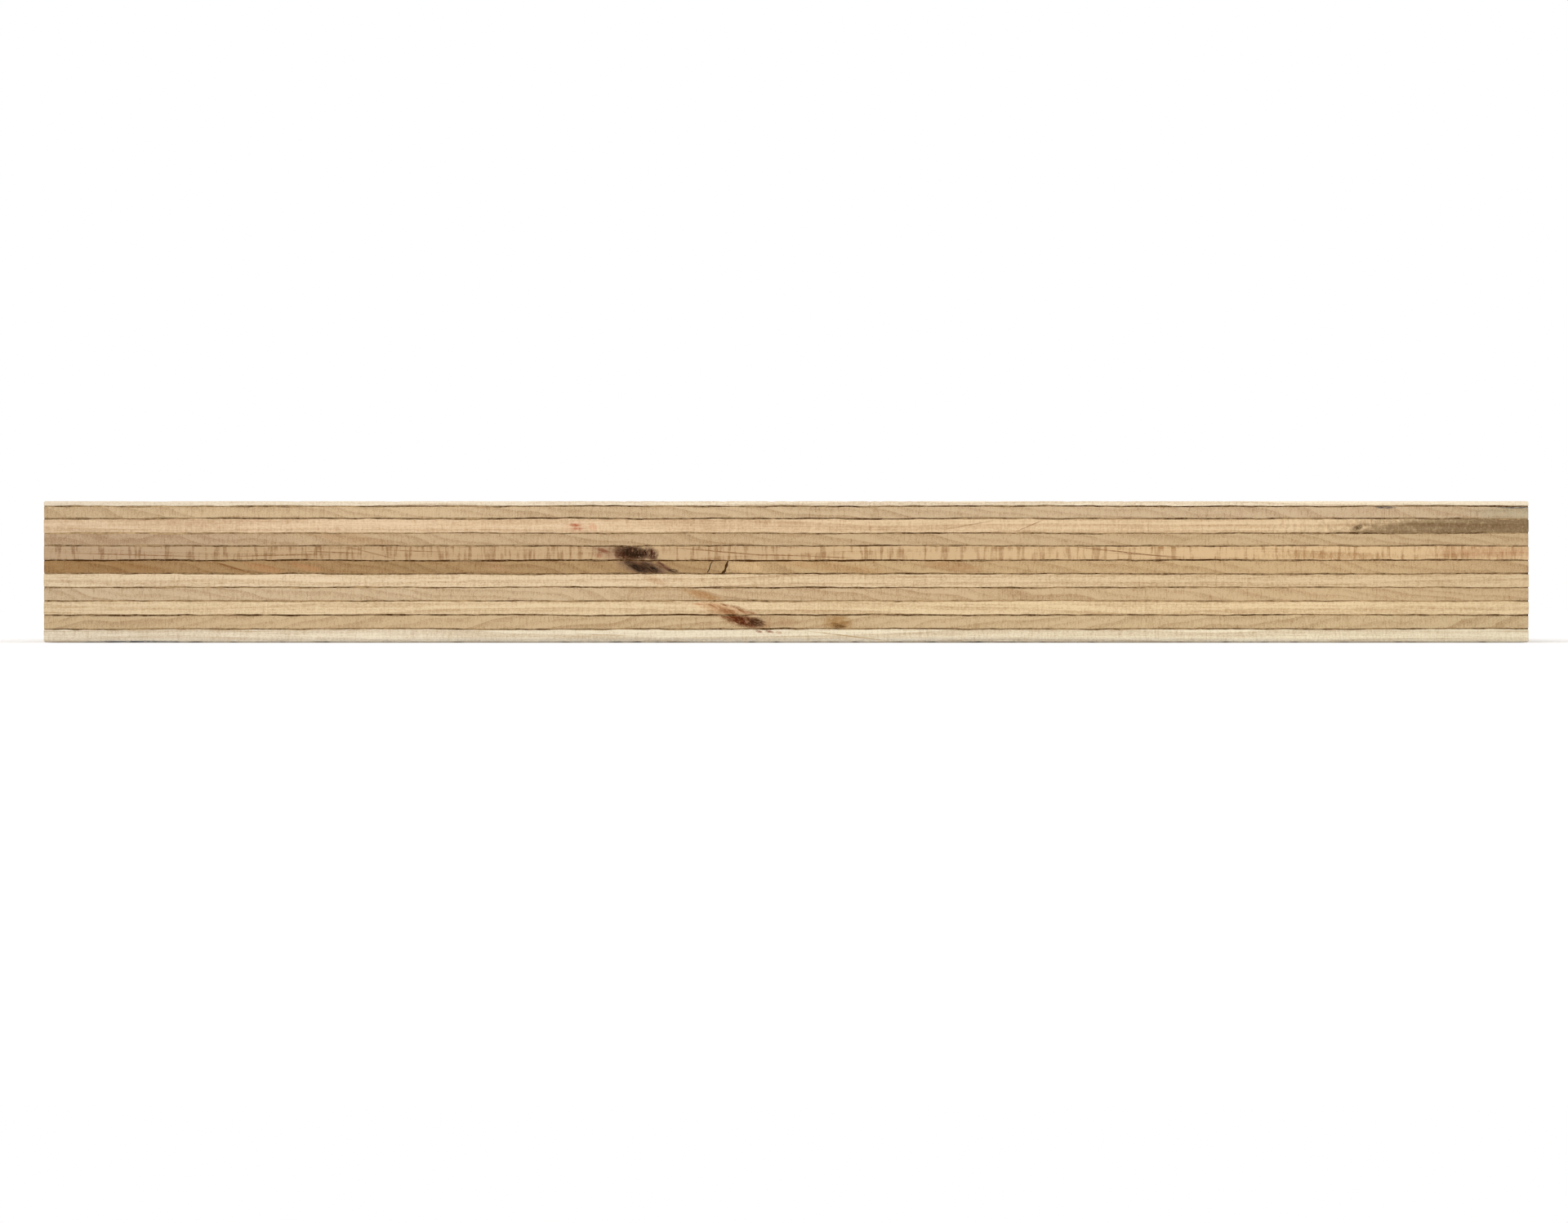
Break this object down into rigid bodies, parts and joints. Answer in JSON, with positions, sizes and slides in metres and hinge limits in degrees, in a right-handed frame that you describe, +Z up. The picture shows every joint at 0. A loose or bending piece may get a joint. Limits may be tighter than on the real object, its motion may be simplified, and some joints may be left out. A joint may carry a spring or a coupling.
{
  "type": "scaffold plank",
  "caption": "Short sawn length of cross-banded laminated-veneer scaffold plank: flat walking face, flat underside, dark glue lines along square sawn edges.",
  "frame": {"origin": "centre of the bearing (bottom) face", "axes": "+X along the plank, +Y across its width away from the seen long edge, +Z up through its thickness"},
  "size_m": [0.401, 0.2414, 0.0381],
  "materials": {
    "face_veneer": "pale sanded birch-like face veneer, matt",
    "long_veneer": "sawn edge of long-grain veneer, matt",
    "crossband_veneer": "sawn end grain of cross-band veneer, matt",
    "dark_crossband_veneer": "darker sawn cross-band veneer, matt",
    "phenolic_glue": "dark brown cured phenolic resin, matt"
  },
  "bodies": {
    "root": {"face_veneer_top": "face_veneer", "glue_line_01": "phenolic_glue", "crossband_veneer_02": "crossband_veneer", "glue_line_02": "phenolic_glue", "long_veneer_03": "long_veneer", "glue_line_03": "phenolic_glue", "crossband_veneer_04": "crossband_veneer", "glue_line_04": "phenolic_glue", "long_veneer_05": "long_veneer", "glue_line_05": "phenolic_glue", "crossband_veneer_06_left": "dark_crossband_veneer", "crossband_veneer_06_right": "dark_crossband_veneer", "butt_joint_resin": "phenolic_glue", "glue_line_06": "phenolic_glue", "long_veneer_07": "long_veneer", "glue_line_07": "phenolic_glue", "crossband_veneer_08": "crossband_veneer", "glue_line_08": "phenolic_glue", "long_veneer_09": "long_veneer", "glue_line_09": "phenolic_glue", "crossband_veneer_10": "crossband_veneer", "glue_line_10": "phenolic_glue", "face_veneer_bottom": "face_veneer"}
  },
  "joints": []
}
